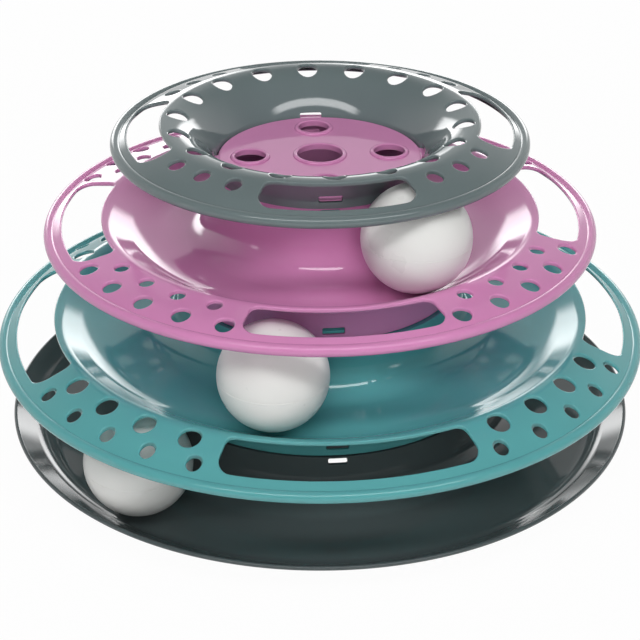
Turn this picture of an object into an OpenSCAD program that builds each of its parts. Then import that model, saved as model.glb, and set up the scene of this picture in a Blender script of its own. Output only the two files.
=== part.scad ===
// Cat toy: three stacked ball tracks on a base tray, with one trapped ball in each channel.
// Millimetres, +Z up. The origin is on the ground, in the middle of the round base.
// The kidney slots lie on the X and Y axes, and the groups of small holes between them.
// All four mouldings are shells of one wall thickness. Each is drawn as the path of its upper
// side, from the hub outwards, with a rounding at each corner. The radii of the whole tower add up
// from the hub of the middle track outwards, and each tier stands as high as the ball below needs.

/* [Mouldings] */
// Wall thickness of the four mouldings
wall = 1.6; // [1.4:0.1:2.2]
// Clearance between a skirt and the hub inside it, and where one tier rests on the next
fit_gap = 0.3; // [0.2:0.05:0.4]
// Rounding of the crests of the lower and the middle track
crest_round = 7; // [5:0.5:8]
// How much the rounding from a channel floor into its outer wall exceeds the radius of the ball
ramp_ease = 1.6; // [0.8:0.1:3]
// Rounding between a channel floor and its hub
hub_round = 12; // [9:1:13]
// Rounding where the flanges of those tracks bend down to their lips
flange_round = 25; // [15:1:30]
// Radius of the bead that forms each lip
bead_r = 2.1; // [1.8:0.1:2.3]

/* [Balls] */
// Diameter of each ball
ball_d = 39.8; // [36:0.1:44]
// Wall thickness of the hollow balls
ball_wall = 1.6; // [1.2:0.1:2]
// Running gap between a ball and the channel floor under it
ball_gap = 0.2; // [0.1:0.05:0.3]

/* [Base tray] */
// Height of the tray's running surface above the ground
base_floor_z = 3.8; // [3.6:0.1:4.2]
// Width of the shoulder that carries the skirt of the lower track
base_shoulder_w = 2.5; // [2.1:0.1:3]
// How much the foot of the hub stands out beyond that shoulder
base_hub_draft = 3.3; // [2:0.1:4]
// Distance from the foot of the hub to the ball at its nearest
base_ball_play = 6.1; // [5:0.1:8]
// Distance from the ball's path to the start of the outer wall
base_wall_out = 11; // [9:0.5:13]
// Width of the outer wall, from its start to the edge of the rim
base_wall_run = 12; // [10:0.5:14]
// Height of the rim's inner edge above the running surface
base_rim_rise = 7.7; // [7:0.1:9]
// Rounding between the running surface and the outer wall
base_wall_round = 14; // [10:1:16]

/* [Lower track] */
// Clearance between the base tray's ball and the underside of this track
low_headroom = 0.65; // [0.2:0.05:1.2]
// Distance from the foot of the hub to the skirt that slips over the base hub
low_skirt_out = 9.5; // [8:0.1:11]
// Width of the shoulder that carries the skirt of the middle track
low_shoulder_w = 3.4; // [2.4:0.1:4]
// How much the foot of the hub stands out beyond that shoulder
low_hub_draft = 3.1; // [2:0.1:4]
// Distance from the foot of the hub to the ball at its nearest
low_ball_play = 3.2; // [2:0.1:5]
// Distance from the ball's path to the start of the rounding into the outer wall
low_path_out = 1.7; // [0.1:0.1:3]
// Width of the outer wall, up to the crest corner before its rounding
low_ramp_run = 14; // [12:0.1:16]
// Height of the crest corner above the running surface
low_crest_rise = 8.3; // [7:0.1:10]
// Width of the flange, from the crest corner to the edge of the lip
low_flange_w = 22.8; // [20:0.1:26]
// Drop of the middle of the lip bead below the crest corner
low_lip_drop = 9.8; // [9:0.1:11]
// Distance of the bend in the flange from the edge of the lip
low_bend_in = 11; // [9:0.5:13]
// Height of that bend above the lip bead
low_bend_rise = 5.7; // [5:0.1:6.5]

/* [Middle track] */
// Clearance between the lower track's ball and the underside of this track
mid_headroom = 2.4; // [0.3:0.1:3]
// Distance from the foot of the hub to the skirt that slips over the lower hub
mid_skirt_out = 11.6; // [10:0.1:13]
// Outer radius of the hub where the top ring slips over it
mid_hub_r = 38.4; // [34:0.1:42]
// Width of the shoulder that carries the skirt of the top ring
mid_shoulder_w = 1; // [0.6:0.1:1.4]
// How much the foot of the hub stands out beyond that shoulder
mid_hub_draft = 0.3; // [0.1:0.1:1]
// Distance from the foot of the hub to the ball at its nearest
mid_ball_play = 0.6; // [0.4:0.1:1.5]
// Distance from the ball's path to the start of the rounding into the outer wall
mid_path_out = 0.05; // [0.05:0.05:1]
// Width of the outer wall, up to the crest corner before its rounding
mid_ramp_run = 14.5; // [12:0.1:16]
// Height of the crest corner above the running surface
mid_crest_rise = 9.4; // [8:0.1:11]
// Width of the flange, from the crest corner to the edge of the lip
mid_flange_w = 23.55; // [20:0.05:26]
// Drop of the middle of the lip bead below the crest corner
mid_lip_drop = 5.5; // [4.8:0.1:6.5]
// Distance of the bend in the flange from the edge of the lip
mid_bend_in = 7.65; // [6.5:0.05:10]
// Height of that bend above the lip bead
mid_bend_rise = 3.5; // [3:0.1:4]

/* [Top ring] */
// Height of the ring's underside at the crest corner, before its rounding, above the middle track's ball
top_headroom = 6.4; // [5:0.1:8]
// Width of the outer wall, up to the crest corner before its rounding
top_ramp_run = 13; // [12:0.1:14.5]
// Height of the crest corner above the disc
top_crest_rise = 17.15; // [15.5:0.05:19]
// Rounding of the crest
top_crest_round = 14; // [10:0.5:16]
// Width of the flange, from the crest corner to the edge of the lip
top_flange_w = 26.3; // [24:0.1:29]
// Drop of the middle of the lip bead below the crest corner
top_lip_drop = 9.75; // [9:0.05:10.5]
// Distance of the bend in the flange from the edge of the lip
top_bend_in = 7.5; // [6.5:0.5:9]
// Height of that bend above the lip bead
top_bend_rise = 3.85; // [3.2:0.05:4.4]
// Rounding of that bend
top_bend_round = 20; // [12:1:24]

/* [Slots] */
// Rounding of the slot corners next to the crest
slot_corner_in = 3.5; // [2.5:0.1:4.5]
// Rounding of the slot corners next to the lip
slot_corner_out = 5.5; // [4:0.1:6]
// Distance of the lower track's slots from its crest corner
low_slot_inset = 1; // [0.8:0.1:1.6]
// Distance of the lower track's slots from the edge of its lip
low_slot_margin = 7; // [6.5:0.1:8.5]
// Distance of the middle track's slots from its crest corner
mid_slot_inset = 1.8; // [1.4:0.1:2.2]
// Distance of the middle track's slots from the edge of its lip
mid_slot_margin = 6.75; // [6.5:0.05:8.5]
// Distance of the top ring's slots from its crest corner
top_slot_inset = 7.9; // [7:0.1:9]
// Distance of the top ring's slots from the edge of its lip
top_slot_margin = 6; // [5.5:0.1:7.5]

/* [Holes] */
// Diameter of the lower track's outer row of holes
low_outer_hole_d = 5.6; // [4.5:0.1:6.5]
// Diameter of the lower track's inner row of holes
low_inner_hole_d = 8.2; // [7:0.1:8.8]
// Diameter of the middle track's outer row of holes
mid_outer_hole_d = 6.8; // [5.5:0.1:7.4]
// Diameter of the middle track's inner row of holes
mid_inner_hole_d = 5.4; // [4.5:0.1:6]
// Diameter of the top ring's outer row of holes
top_outer_hole_d = 6; // [5:0.1:6.5]
// Diameter of the top ring's inner row of holes
top_inner_hole_d = 7.8; // [6.5:0.1:8.4]
// Diameter of the large hole in the disc
disc_hole_d = 17; // [15:0.5:18]
// Diameter of the four small holes in the disc
disc_small_hole_d = 11.6; // [10:0.2:12.4]
// Distance of the middles of the four small holes from the edge of the hub
disc_hole_in = 12.2; // [11.4:0.1:13]

/* [Feet] */
// Diameter of each rubber foot
foot_d = 12; // [10:0.5:14]
// Distance of the middle of each foot from the start of the tray's outer wall
foot_in = 12.5; // [10:0.5:16]
// Depth of the pocket that holds a foot
foot_pocket = 0.6; // [0.4:0.1:0.8]

/* [Hidden] */
$fn = 96;

// Sides of the circle that forms a lip bead, and of those that form the rim and the disc's beads
bead_sides = 48;
rim_sides = 32;

// Angle covered by one step of a rounded corner in a profile
arc_step_angle = 9;
// The most that a rounding may take of the shorter side next to it, or of the width of a slot
leg_share = 0.9;
slot_in_share = 0.4;
slot_out_share = 0.5;
// Overrun of a cut past the surface that it leaves
over = 1;
// Overlap of the corner circles of a slot with its sides
corner_lap = 0.02;

// Slots, windows, tabs and small disc holes repeat every quarter turn, hole groups half way between
quarter = 90;
group_mid = 45;
low_slot_half_angle = 23.1;
mid_slot_half_angle = 21.6;
top_slot_half_angle = 23.6;

// Rows of holes: distances of their circles from the lip or the crest corner, angle from one
// hole to the next, and number of holes in a group or, for the top ring's inner row, in all
low_outer_row_in = 8.6;
low_outer_pitch_angle = 9;
low_outer_count = 5;
low_inner_row_out = 5.3;
low_inner_pitch_angle = 10;
low_inner_count = 4;
mid_outer_row_in = 8.85;
mid_outer_pitch_angle = 10;
mid_outer_count = 5;
mid_inner_row_out = 5.5;
mid_inner_pitch_angle = 10;
mid_inner_count = 4;
top_outer_row_out = 12.5;
top_outer_pitch_angle = 12;
top_outer_count = 3;
top_inner_row_out = 1.6;
top_inner_count = 18;

// The crease beside a lip bead, in bead radii from the bead's outer edge and from its middle
crease_in_share = 1.7;
crease_up_share = 0.75;
// Inset of the base rim's upper edge, in walls
rim_inset_share = 0.81;

// Skirts, windows and snap tabs
skirt_depth = 19.8;
top_skirt_drop = 3.9;
skirt_lead = 0.6;
flare_round = 3;
window_w = 8.3;
window_h = 2.7;
window_up = 2.5;
tab_reach = 1.4;
tab_top_inset = 0.2;
core_window_w = 7;
core_window_h = 2.4;
core_window_down = 0.6;
hub_ledge = 6;
hub_edge_round = 1.2;
shoulder_round = 0.4;

// Beads round the holes of the disc: radius, height, and distance of the crest from the hole's edge
disc_bead_r = 1;
disc_bead_h = 0.9;
disc_bead_out = 0.7;

// Seam of a ball, and the feet
seam_tongue = 1;
seam_gap = 0.1;
foot_chamfer = 0.5;
foot_fit = 0.15;

// Azimuth of each ball at rest, from -Y towards +X
base_ball_angle = -47.3;
low_ball_angle = -17.1;
mid_ball_angle = 29.1;

base_color = [0.24, 0.28, 0.29];
low_color = [0.36, 0.66, 0.67];
mid_color = [0.80, 0.53, 0.70];
top_color = [0.47, 0.52, 0.53];
ball_color = [0.86, 0.85, 0.86];
foot_color = [0.12, 0.12, 0.13];

ball_r = ball_d / 2;
ramp_round = ball_r + ramp_ease;
low_ramp_angle = atan2(low_crest_rise, low_ramp_run);
mid_ramp_angle = atan2(mid_crest_rise, mid_ramp_run);

// Radii of the four mouldings, from the inside outwards. Each hub fits inside the skirt above it,
// and stands far enough out for that skirt to hang under the floor of its own tier.
top_skirt_r = mid_hub_r + fit_gap;
top_crest_r = top_skirt_r + top_ramp_run;
top_lip_r = top_crest_r + top_flange_w;

mid_shoulder_r = mid_hub_r + mid_shoulder_w;
mid_hub_foot_r = mid_shoulder_r + mid_hub_draft;
mid_orbit_r = mid_hub_foot_r + mid_ball_play + ball_r;
mid_flat_r = mid_orbit_r + mid_path_out;
mid_ramp_r = mid_flat_r + ramp_round * tan(mid_ramp_angle / 2);
mid_crest_r = mid_ramp_r + mid_ramp_run;
mid_lip_r = mid_crest_r + mid_flange_w;
mid_skirt_r = mid_hub_foot_r + mid_skirt_out;

low_hub_r = mid_skirt_r - fit_gap;
low_shoulder_r = low_hub_r + low_shoulder_w;
low_hub_foot_r = low_shoulder_r + low_hub_draft;
low_orbit_r = low_hub_foot_r + low_ball_play + ball_r;
low_flat_r = low_orbit_r + low_path_out;
low_ramp_r = low_flat_r + ramp_round * tan(low_ramp_angle / 2);
low_crest_r = low_ramp_r + low_ramp_run;
low_lip_r = low_crest_r + low_flange_w;
low_skirt_r = low_hub_foot_r + low_skirt_out;

base_hub_r = low_skirt_r - fit_gap;
base_shoulder_r = base_hub_r + base_shoulder_w;
base_hub_foot_r = base_shoulder_r + base_hub_draft;
base_orbit_r = base_hub_foot_r + base_ball_play + ball_r;
base_wall_r = base_orbit_r + base_wall_out;
base_rim_r = base_wall_r + base_wall_run;

disc_hole_circle_r = mid_hub_r - disc_hole_in;
foot_circle_r = base_wall_r - foot_in;

// Height of a floor above the middle of the ball below it, whose path lies a distance out beyond
// the end of the floor's flat part. The ball comes nearest to the rounding or to the outer wall.
function over_ball(out, angle, round, gap) =
    let (reach = ball_r + gap + wall)
    asin(out / (reach + round)) < angle ?
        sqrt(pow(reach + round, 2) - pow(out, 2)) - round :
        (reach - (out - round * tan(angle / 2)) * sin(angle)) / cos(angle);

base_ball_z = base_floor_z + ball_gap + ball_r;
low_floor_z = base_ball_z + over_ball(base_orbit_r - low_flat_r, low_ramp_angle, ramp_round, low_headroom);
low_ball_z = low_floor_z + ball_gap + ball_r;
mid_floor_z = low_ball_z + over_ball(low_orbit_r - mid_flat_r, mid_ramp_angle, ramp_round, mid_headroom);
mid_ball_z = mid_floor_z + ball_gap + ball_r;
disc_z = mid_ball_z + ball_r + top_headroom + wall - top_crest_rise;

// Each hub ends just under the floor that it carries
base_hub_z = low_floor_z - wall - fit_gap;
low_hub_z = mid_floor_z - wall - fit_gap;
low_skirt_z = low_floor_z - skirt_depth;
mid_skirt_z = mid_floor_z - skirt_depth;
top_skirt_z = disc_z - top_skirt_drop;
tab_w = window_w - 2 * fit_gap;
tab_h = window_h - 2 * fit_gap;

// Profile geometry: a path is a list of corners, and each corner has a radius
function unit(v) = v / norm(v);
function right_of(a, b) = let (d = unit(b - a)) [d.y, -d.x];
function cross_z(u, v) = u.x * v.y - u.y * v.x;
function crossing(p, u, q, v) = p + u * cross_z(q - p, v) / cross_z(u, v);

// Corners of the path that runs a distance t to the right of a given path
function beside(path, t) =
    let (last = len(path) - 1)
    [for (i = [0 : last])
        i == 0 ? path[0] + t * right_of(path[0], path[1]) :
        i == last ? path[last] + t * right_of(path[last - 1], path[last]) :
        crossing(path[i] + t * right_of(path[i - 1], path[i]), path[i] - path[i - 1],
                 path[i] + t * right_of(path[i], path[i + 1]), path[i + 1] - path[i])];

// Radii of that path: a corner to the left grows by t, and one to the right shrinks by it
function radii_beside(path, radii, t) =
    [for (i = [0 : len(path) - 1])
        radii[i] == 0 ? 0 :
        max(radii[i] + t * sign(cross_z(path[i] - path[i - 1], path[i + 1] - path[i])), 0)];

// Points of the rounded corner b between a and c
function corner(a, b, c, r_max) =
    let (u = unit(a - b), w = unit(c - b),
         half = acos(u * w) / 2,
         r = min(r_max, leg_share * min(norm(a - b), norm(c - b)) * tan(half)),
         centre = b + unit(u + w) * r / sin(half),
         start = b + u * r / tan(half) - centre,
         sweep = sign(cross_z(b - a, c - b)) * (180 - 2 * half),
         steps = ceil(abs(sweep) / arc_step_angle))
    [for (k = [0 : steps])
        let (t = sweep * k / steps)
        centre + [start.x * cos(t) - start.y * sin(t), start.x * sin(t) + start.y * cos(t)]];

function rounded(path, radii) =
    [for (i = [0 : len(path) - 1])
        for (p = radii[i] == 0 ? [path[i]] : corner(path[i - 1], path[i], path[i + 1], radii[i])) p];

// Outline of a shell of thickness t below the path of its upper side
function shell(path, radii, t) =
    let (under = rounded(beside(path, t), radii_beside(path, radii, t)))
    concat(rounded(path, radii), [for (i = [len(under) - 1 : -1 : 0]) under[i]]);

function polar(r, a) = [r * sin(a), -r * cos(a)];

// Last corners of a tier's path: the crest, the bend, the crease and the inside of the lip bead
function flange(crest, bend, lip_r, lip_z) =
    [crest, bend, [lip_r - crease_in_share * bead_r, lip_z + crease_up_share * bead_r],
     [lip_r - bead_r, lip_z + wall / 2]];
flange_radii = [crest_round, flange_round, 0, 0];

// First corners of a moulding with a hub: its top, the seat of the skirt above, and its foot
function hub(r_start, r, z, shoulder_r, skirt_z, foot_r, floor_z) =
    [[r_start, z], [r, z], [r, skirt_z - fit_gap], [shoulder_r, skirt_z - fit_gap], [foot_r, floor_z]];
hub_radii = [0, hub_edge_round, 0, shoulder_round, hub_round];

module ring_2d(r_in, r_out) {
    difference() {
        circle(r_out);
        circle(r_in);
    }
}

module wedge_2d(r, half) {
    polygon([[0, 0], polar(r, -half), polar(r, half)]);
}

// Kidney outline between two radii, centred on -Y. Its corner circles cross its sides by a hair,
// since circles that only touched them would leave slivers.
module kidney(r_in, r_out, half) {
    c_in = min(slot_corner_in, slot_in_share * (r_out - r_in));
    c_out = min(slot_corner_out, slot_out_share * (r_out - r_in));
    ri = r_in + c_in;
    ro = r_out - c_out;
    a_in = half - asin(c_in / ri);
    a_out = half - asin(c_out / ro);
    outward = [cos(half), sin(half)];
    right = [polar(2 * r_out, a_out), polar(ro, a_out), polar(ro, a_out) + 2 * c_out * outward,
             polar(ri, a_in) + 2 * c_in * outward, polar(ri, a_in), polar(ri - 2 * c_in, a_in)];
    intersection() {
        ring_2d(r_in, r_out);
        wedge_2d(2 * r_out, half);
        union() {
            polygon(concat(right, [for (i = [len(right) - 1 : -1 : 0]) [-right[i].x, right[i].y]]));
            for (s = [-1, 1]) {
                translate(polar(ri, s * a_in)) circle(c_in + corner_lap);
                translate(polar(ro, s * a_out)) circle(c_out + corner_lap);
            }
        }
    }
}

// Cutter for the four slots of a tier
module slots(r_in, r_out, half, z, h) {
    for (k = [0 : 3])
        rotate(k * quarter) translate([0, 0, z]) linear_extrude(h) kidney(r_in, r_out, half);
}

// Cutter for one row of holes in each of the four groups
module hole_groups(row_r, d, count, pitch, z, h) {
    for (k = [0 : 3], i = [0 : count - 1])
        rotate(k * quarter + group_mid + (i - (count - 1) / 2) * pitch)
            translate([0, -row_r, z]) cylinder(d = d, h = h);
}

// Blocks of width w that reach out past a wall of radius r on both sides, on the X and Y axes
module cross_blocks(r, w, z, h, reach = 2 * wall) {
    for (k = [0 : 3])
        rotate(k * quarter) translate([-w / 2, -r - reach, z]) cube([w, 2 * reach, h]);
}

// Snap tabs on a hub of radius r and height hub_z whose skirt ends at height skirt_z
module tabs(r, hub_z, skirt_z) {
    z = skirt_z + window_up + fit_gap;
    h = min(tab_h, hub_z - tab_top_inset - z);
    intersection() {
        rotate_extrude()
            polygon([[r - wall / 2, z], [r + tab_reach, z], [r + tab_reach, z + h / 2],
                     [r - wall / 2, z + h]]);
        cross_blocks(r, tab_w, z - over, h + 2 * over);
    }
}

// Windows in a skirt that the tabs of the hub snap into
module windows(r, skirt_z) {
    cross_blocks(r, window_w, skirt_z + window_up, window_h);
}

// Windows under the shoulder of a hub, below its tabs, through its wall and its ledge
module core_windows(r, skirt_z) {
    cross_blocks(r - wall, core_window_w, skirt_z - fit_gap - core_window_down - core_window_h,
                 core_window_h, 4 * wall);
}

// Skirt below a floor that slips over the hub of the moulding underneath
module skirt(r, z, floor_z) {
    rotate_extrude()
        polygon([[r + skirt_lead, z], [r + wall, z], [r + wall, floor_z - wall / 2],
                 [r, floor_z - wall / 2], [r, z + skirt_lead]]);
}

module lip_bead(lip_r, lip_z) {
    rotate_extrude() translate([lip_r - bead_r, lip_z]) circle(bead_r, $fn = bead_sides);
}

module base_tray() {
    rim = [base_rim_r - rim_inset_share * wall, base_floor_z + base_rim_rise];
    wall_foot = [base_wall_r, base_floor_z];
    path = concat(hub(base_hub_r - hub_ledge, base_hub_r, base_hub_z, base_shoulder_r, low_skirt_z,
                      base_hub_foot_r, base_floor_z), [wall_foot, rim]);
    color(base_color) difference() {
        union() {
            rotate_extrude() polygon(shell(path, concat(hub_radii, [base_wall_round, 0]), wall));
            rotate_extrude() translate(rim + right_of(wall_foot, rim) * wall / 2)
                circle(wall / 2, $fn = rim_sides);
            tabs(base_hub_r, base_hub_z, low_skirt_z);
        }
        core_windows(base_shoulder_r, low_skirt_z);
        for (k = [0 : 3])
            rotate(k * quarter + group_mid) translate([0, -foot_circle_r, base_floor_z - wall - over])
                cylinder(d = foot_d, h = foot_pocket + over);
    }
}

module lower_track() {
    crest = [low_crest_r, low_floor_z + low_crest_rise];
    lip_z = crest.y - low_lip_drop;
    path = concat(hub(low_hub_r - hub_ledge, low_hub_r, low_hub_z, low_shoulder_r, mid_skirt_z,
                      low_hub_foot_r, low_floor_z),
                  [[low_ramp_r, low_floor_z]],
                  flange(crest, [low_lip_r - low_bend_in, lip_z + low_bend_rise], low_lip_r, lip_z));
    cut_z = lip_z - low_bend_rise;
    cut_h = 3 * low_crest_rise;
    color(low_color) difference() {
        union() {
            rotate_extrude() polygon(shell(path, concat(hub_radii, [ramp_round], flange_radii), wall));
            lip_bead(low_lip_r, lip_z);
            skirt(low_skirt_r, low_skirt_z, low_floor_z);
            tabs(low_hub_r, low_hub_z, mid_skirt_z);
        }
        slots(low_crest_r + low_slot_inset, low_lip_r - low_slot_margin, low_slot_half_angle, cut_z, cut_h);
        hole_groups(low_lip_r - low_outer_row_in, low_outer_hole_d, low_outer_count,
                    low_outer_pitch_angle, cut_z, cut_h);
        hole_groups(low_crest_r + low_inner_row_out, low_inner_hole_d, low_inner_count,
                    low_inner_pitch_angle, cut_z, cut_h);
        windows(low_skirt_r, low_skirt_z);
        core_windows(low_shoulder_r, mid_skirt_z);
    }
}

// Raised bead round a hole of the disc
module hole_bead(d) {
    rotate_extrude() translate([d / 2 + disc_bead_out, disc_bead_h - disc_bead_r])
        circle(disc_bead_r, $fn = rim_sides);
}

module middle_track() {
    crest = [mid_crest_r, mid_floor_z + mid_crest_rise];
    lip_z = crest.y - mid_lip_drop;
    path = concat(hub(0, mid_hub_r, disc_z, mid_shoulder_r, top_skirt_z, mid_hub_foot_r, mid_floor_z),
                  [[mid_ramp_r, mid_floor_z]],
                  flange(crest, [mid_lip_r - mid_bend_in, lip_z + mid_bend_rise], mid_lip_r, lip_z));
    cut_z = mid_floor_z - mid_crest_rise;
    cut_h = 3 * mid_crest_rise;
    color(mid_color) difference() {
        union() {
            rotate_extrude() polygon(shell(path, concat(hub_radii, [ramp_round], flange_radii), wall));
            lip_bead(mid_lip_r, lip_z);
            skirt(mid_skirt_r, mid_skirt_z, mid_floor_z);
            tabs(mid_hub_r, disc_z, top_skirt_z);
            translate([0, 0, disc_z]) {
                hole_bead(disc_hole_d);
                for (k = [0 : 3])
                    rotate(k * quarter) translate([0, -disc_hole_circle_r, 0]) hole_bead(disc_small_hole_d);
            }
        }
        slots(mid_crest_r + mid_slot_inset, mid_lip_r - mid_slot_margin, mid_slot_half_angle, cut_z, cut_h);
        hole_groups(mid_lip_r - mid_outer_row_in, mid_outer_hole_d, mid_outer_count,
                    mid_outer_pitch_angle, cut_z, cut_h);
        hole_groups(mid_crest_r + mid_inner_row_out, mid_inner_hole_d, mid_inner_count,
                    mid_inner_pitch_angle, cut_z, cut_h);
        windows(mid_skirt_r, mid_skirt_z);
        core_windows(mid_shoulder_r, top_skirt_z);
        translate([0, 0, disc_z - wall - over]) {
            cylinder(d = disc_hole_d, h = wall + disc_bead_h + 2 * over);
            for (k = [0 : 3])
                rotate(k * quarter) translate([0, -disc_hole_circle_r, 0])
                    cylinder(d = disc_small_hole_d, h = wall + disc_bead_h + 2 * over);
        }
    }
}

module top_ring() {
    crest = [top_crest_r, disc_z + top_crest_rise];
    lip_z = crest.y - top_lip_drop;
    path = concat([[top_skirt_r, top_skirt_z], [top_skirt_r, disc_z]],
                  flange(crest, [top_lip_r - top_bend_in, lip_z + top_bend_rise], top_lip_r, lip_z));
    radii = [0, flare_round, top_crest_round, top_bend_round, 0, 0];
    cut_z = disc_z + wall;
    cut_h = 2 * top_crest_rise;
    color(top_color) difference() {
        union() {
            rotate_extrude() polygon(shell(path, radii, wall));
            lip_bead(top_lip_r, lip_z);
        }
        slots(top_crest_r + top_slot_inset, top_lip_r - top_slot_margin, top_slot_half_angle, cut_z, cut_h);
        hole_groups(top_crest_r + top_outer_row_out, top_outer_hole_d, top_outer_count,
                    top_outer_pitch_angle, cut_z, cut_h);
        for (i = [0 : top_inner_count - 1])
            rotate(i * 360 / top_inner_count) translate([0, -top_crest_r - top_inner_row_out, cut_z])
                cylinder(d = top_inner_hole_d, h = cut_h);
        windows(top_skirt_r, top_skirt_z);
    }
}

// A shell of half a ball about the origin: side is -1 for the lower half and 1 for the upper one
module ball_half(side) {
    mid_r = ball_r - ball_wall / 2;
    difference() {
        sphere(ball_r);
        sphere(ball_r - ball_wall);
        translate([-ball_d, -ball_d, side > 0 ? -2 * ball_d : 0]) cube(2 * ball_d);
        if (side > 0)
            translate([0, 0, -over]) cylinder(r = mid_r + seam_gap / 2, h = seam_tongue + seam_gap + over);
    }
    if (side < 0)
        difference() {
            translate([0, 0, -ball_wall]) cylinder(r = mid_r - seam_gap / 2, h = seam_tongue + ball_wall);
            translate([0, 0, -ball_wall - over])
                cylinder(r = ball_r - ball_wall, h = seam_tongue + ball_wall + 2 * over);
        }
}

// Half a ball in its place at rest in a channel
module placed_half(side, orbit_r, angle, z) {
    color(ball_color) translate(concat(polar(orbit_r, angle), z)) ball_half(side);
}

module base_ball(side) {
    placed_half(side, base_orbit_r, base_ball_angle, base_ball_z);
}

module lower_ball(side) {
    placed_half(side, low_orbit_r, low_ball_angle, low_ball_z);
}

module middle_ball(side) {
    placed_half(side, mid_orbit_r, mid_ball_angle, mid_ball_z);
}

// Rubber foot in its pocket under the tray, at an azimuth from -Y towards +X
module foot(angle) {
    h = base_floor_z - wall + foot_pocket;
    r = foot_d / 2 - foot_fit;
    color(foot_color) translate(polar(foot_circle_r, angle))
        rotate_extrude() polygon([[0, 0], [r - foot_chamfer, 0], [r, foot_chamfer], [r, h], [0, h]]);
}

base_tray();
lower_track();
middle_track();
top_ring();
base_ball(-1);  // base_ball_bottom_half
base_ball(1);  // base_ball_top_half
lower_ball(-1);  // lower_ball_bottom_half
lower_ball(1);  // lower_ball_top_half
middle_ball(-1);  // middle_ball_bottom_half
middle_ball(1);  // middle_ball_top_half
foot(-group_mid);  // foot_front_left
foot(group_mid);  // foot_front_right
foot(-group_mid - quarter);  // foot_back_left
foot(group_mid + quarter);  // foot_back_right
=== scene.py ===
"""Looks of the cat ball track toy: smooth moulded tiers, hollow balls, plastic materials, studio and camera.

Shapes are worked out in millimetres from the sizes of the part's source and go into Blender in metres.
"""
import math

import bpy
import numpy as np
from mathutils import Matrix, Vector
from mathutils.geometry import delaunay_2d_cdt


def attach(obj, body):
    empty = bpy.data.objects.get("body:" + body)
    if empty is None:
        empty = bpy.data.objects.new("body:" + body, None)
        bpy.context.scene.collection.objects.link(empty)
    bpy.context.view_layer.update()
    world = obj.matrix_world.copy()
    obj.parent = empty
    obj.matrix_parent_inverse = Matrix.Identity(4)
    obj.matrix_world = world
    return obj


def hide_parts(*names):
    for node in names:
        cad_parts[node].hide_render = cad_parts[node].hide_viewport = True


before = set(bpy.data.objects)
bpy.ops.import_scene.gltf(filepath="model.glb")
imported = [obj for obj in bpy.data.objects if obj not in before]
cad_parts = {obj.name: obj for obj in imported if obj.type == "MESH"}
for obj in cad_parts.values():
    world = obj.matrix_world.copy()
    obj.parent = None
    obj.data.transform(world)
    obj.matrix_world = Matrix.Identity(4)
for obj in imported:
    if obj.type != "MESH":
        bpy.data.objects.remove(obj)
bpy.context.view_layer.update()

MM = 0.001

# Sizes, in millimetres, as in the part's source

WALL = 1.6
FIT_GAP = 0.3
CREST_ROUND = 7.0
RAMP_EASE = 1.6
HUB_ROUND = 12.0
FLANGE_ROUND = 25.0
FLARE_ROUND = 3.0
HUB_EDGE_ROUND = 1.2
HUB_LEDGE = 6.0
BEAD_R = 2.1
CREASE_IN_SHARE, CREASE_UP_SHARE, RIM_INSET_SHARE = 1.7, 0.75, 0.81
CREASE_IN = CREASE_IN_SHARE * BEAD_R
CREASE_UP = CREASE_UP_SHARE * BEAD_R
RIM_INSET = RIM_INSET_SHARE * WALL
BALL_R, BALL_WALL, BALL_GAP = 19.9, 1.6, 0.2
RAMP_ROUND = BALL_R + RAMP_EASE

# Base tray
BASE_FLOOR = 3.8
BASE_SHOULDER_W, BASE_HUB_DRAFT, BASE_BALL_PLAY = 2.5, 3.3, 6.1
BASE_WALL_OUT, BASE_WALL_RUN, BASE_WALL_ROUND, BASE_RIM_RISE = 11.0, 12.0, 14.0, 7.7

# Lower and middle track, and top ring. A ramp is an outer wall's width and height up to its crest corner,
# and a bend is the place of the flange's second corner, inwards and upwards from the lip.
LOW_HEADROOM, LOW_SHOULDER_W, LOW_HUB_DRAFT, LOW_BALL_PLAY, LOW_PATH_OUT = 0.65, 3.4, 3.1, 3.2, 1.7
LOW_RAMP, LOW_BEND = (14.0, 8.3), (11.0, 5.7)
LOW_SKIRT_OUT, LOW_FLANGE_W, LOW_LIP_DROP = 9.5, 22.8, 9.8

MID_HUB_R = 38.4
MID_HEADROOM, MID_SHOULDER_W, MID_HUB_DRAFT, MID_BALL_PLAY, MID_PATH_OUT = 2.4, 1.0, 0.3, 0.6, 0.05
MID_RAMP, MID_BEND = (14.5, 9.4), (7.65, 3.5)
MID_SKIRT_OUT, MID_FLANGE_W, MID_LIP_DROP = 11.6, 23.55, 5.5

TOP_HEADROOM = 6.4
TOP_RAMP, TOP_BEND = (13.0, 17.15), (7.5, 3.85)
TOP_FLANGE_W, TOP_LIP_DROP = 26.3, 9.75
TOP_CREST_ROUND, TOP_BEND_ROUND = 14.0, 20.0

# Slots, with half their width as an angle in degrees, and rows of holes, with their pitch in degrees
SLOT_CORNER_IN, SLOT_CORNER_OUT = 3.5, 5.5
LOW_SLOT_INSET, LOW_SLOT_MARGIN, LOW_SLOT_HALF_ANGLE = 1.0, 7.0, 23.1
MID_SLOT_INSET, MID_SLOT_MARGIN, MID_SLOT_HALF_ANGLE = 1.8, 6.75, 21.6
TOP_SLOT_INSET, TOP_SLOT_MARGIN, TOP_SLOT_HALF_ANGLE = 7.9, 6.0, 23.6
LOW_OUTER_ROW_IN, LOW_OUTER_HOLE_D, LOW_OUTER_COUNT, LOW_OUTER_PITCH = 8.6, 5.6, 5, 9
LOW_INNER_ROW_OUT, LOW_INNER_HOLE_D, LOW_INNER_COUNT, LOW_INNER_PITCH = 5.3, 8.2, 4, 10
MID_OUTER_ROW_IN, MID_OUTER_HOLE_D, MID_OUTER_COUNT, MID_OUTER_PITCH = 8.85, 6.8, 5, 10
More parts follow.
